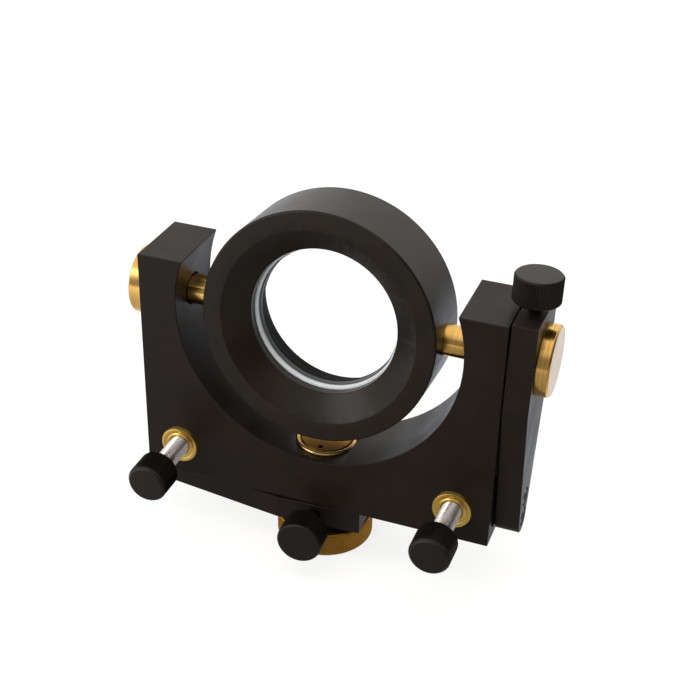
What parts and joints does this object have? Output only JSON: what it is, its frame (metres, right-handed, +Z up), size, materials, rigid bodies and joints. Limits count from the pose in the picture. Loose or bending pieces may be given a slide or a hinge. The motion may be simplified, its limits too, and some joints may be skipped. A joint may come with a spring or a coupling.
{
  "type": "gimbal mirror mount",
  "caption": "U-shaped black yoke holding a tilting round optic cell on brass trunnions, with fine steel adjusters, tapered locking levers and a knurled brass foot.",
  "frame": {"origin": "centre of the foot wheel's underside, on the vertical pivot axis, at the mouth of the tapped stand hole", "axes": "+X right along the trunnion axis with the fine screws facing the viewer, +Y away from the viewer, +Z up the vertical pivot"},
  "size_m": [0.131, 0.0527, 0.117],
  "materials": {
    "black_anodised": "black anodised, semi-gloss",
    "black_cell": "black anodised, semi-gloss",
    "grey_anodised": "dark grey anodised",
    "bright_aluminium": "turned bright",
    "brass": "turned, lightly polished",
    "bronze": "sintered",
    "steel": "bright",
    "ground_steel": "ground and polished",
    "black_steel": "black oxide",
    "knob_black": "black anodised, knurled"
  },
  "bodies": {
    "base": {"pivot_post": "brass", "foot_wheel": "brass", "wheel_washer": "steel"},
    "yaw_lever": {"yaw_lever": "black_anodised", "yaw_foot": "black_steel", "yaw_foot_screws": "black_steel", "yaw_washer": "steel"},
    "yoke": {"yoke": "black_anodised", "trunnion_bush_left": "bronze", "trunnion_bush_right": "bronze", "post_bush": "brass", "pitch_washer": "steel", "pitch_screw_bush": "brass", "yaw_screw_bush": "brass", "pitch_spring": "steel", "yaw_spring": "steel", "pitch_spring_plug": "black_steel", "yaw_spring_plug": "black_steel"},
    "pitch_lever": {"pitch_lever": "black_anodised", "pitch_foot": "black_steel", "pitch_foot_screws": "black_steel"},
    "cell": {"ring_cell": "black_cell", "spacer_ring": "bright_aluminium", "retaining_ring": "grey_anodised", "left_trunnion": "brass", "right_trunnion": "brass"},
    "yaw_slug": {"yaw_clamp_slug": "brass"},
    "yaw_clamp": {"yaw_clamp_screw": "black_steel", "yaw_clamp_knob": "knob_black"},
    "pitch_slug": {"pitch_clamp_slug": "brass"},
    "pitch_clamp": {"pitch_clamp_screw": "black_steel", "pitch_clamp_knob": "knob_black"},
    "yaw_ball": {"yaw_ball": "steel"},
    "yaw_adjuster": {"yaw_screw": "ground_steel", "yaw_knob": "knob_black"},
    "pitch_ball": {"pitch_ball": "steel"},
    "pitch_adjuster": {"pitch_screw": "ground_steel", "pitch_knob": "knob_black"}
  },
  "joints": [
    {"name": "coarse_yaw", "type": "hinge", "parent": "base", "child": "yaw_lever", "pos_m": [0, 0, 0.01395], "axis": [0, 0, 1], "continuous": true},
    {"name": "fine_yaw", "type": "hinge", "parent": "yaw_lever", "child": "yoke", "pos_m": [0, 0, 0.027], "axis": [0, 0, 1], "range_deg": [-2, 6], "deforming": ["yaw_spring"]},
    {"name": "fine_pitch", "type": "hinge", "parent": "yoke", "child": "pitch_lever", "pos_m": [0.057, 0, 0.0797], "axis": [1, 0, 0], "range_deg": [-2, 6], "deforming": ["pitch_spring"]},
    {"name": "coarse_pitch", "type": "hinge", "parent": "pitch_lever", "child": "cell", "pos_m": [0.06125, 0, 0.0797], "axis": [1, 0, 0], "continuous": true},
    {"name": "yaw_travel", "type": "slide", "parent": "yoke", "child": "yaw_ball", "axis": [0, 1, 0], "range_m": [-0.0016, 0.0048]},
    {"name": "yaw_turn", "type": "hinge", "parent": "yaw_ball", "child": "yaw_adjuster", "pos_m": [-0.0453, 0, 0.0293], "axis": [0, 1, 0], "range_deg": [-1790, 5370]},
    {"name": "pitch_travel", "type": "slide", "parent": "yoke", "child": "pitch_ball", "axis": [0, 1, 0], "range_m": [-0.0018, 0.0053]},
    {"name": "pitch_turn", "type": "hinge", "parent": "pitch_ball", "child": "pitch_adjuster", "pos_m": [0.0453, 0, 0.0293], "axis": [0, 1, 0], "range_deg": [-1990, 5980]},
    {"name": "yaw_slug_travel", "type": "slide", "parent": "yaw_lever", "child": "yaw_slug", "axis": [0.0523, -0.9986, 0], "range_m": [0, 0.00106]},
    {"name": "yaw_clamp_turn", "type": "hinge", "parent": "yaw_slug", "child": "yaw_clamp", "pos_m": [0, 0, 0.01395], "axis": [0.0523, -0.9986, 0], "range_deg": [0, 540]},
    {"name": "pitch_slug_travel", "type": "slide", "parent": "pitch_lever", "child": "pitch_slug", "axis": [0, 0.0454, 0.999], "range_m": [0, 0.00106]},
    {"name": "pitch_clamp_turn", "type": "hinge", "parent": "pitch_slug", "child": "pitch_clamp", "pos_m": [0.06125, 0, 0.0797], "axis": [0, 0.0454, 0.999], "range_deg": [0, 540]}
  ],
  "couplings": [
    {"joint": "yaw_travel", "follows": "yaw_turn", "m_per_rad": 0.000050532},
    {"joint": "fine_yaw", "follows": "yaw_turn", "ratio": 0.0011155},
    {"joint": "pitch_travel", "follows": "pitch_turn", "m_per_rad": 0.000050532},
    {"joint": "fine_pitch", "follows": "pitch_turn", "ratio": 0.0010026},
    {"joint": "yaw_slug_travel", "follows": "yaw_clamp_turn", "m_per_rad": 0.00011141},
    {"joint": "pitch_slug_travel", "follows": "pitch_clamp_turn", "m_per_rad": 0.00011141}
  ]
}
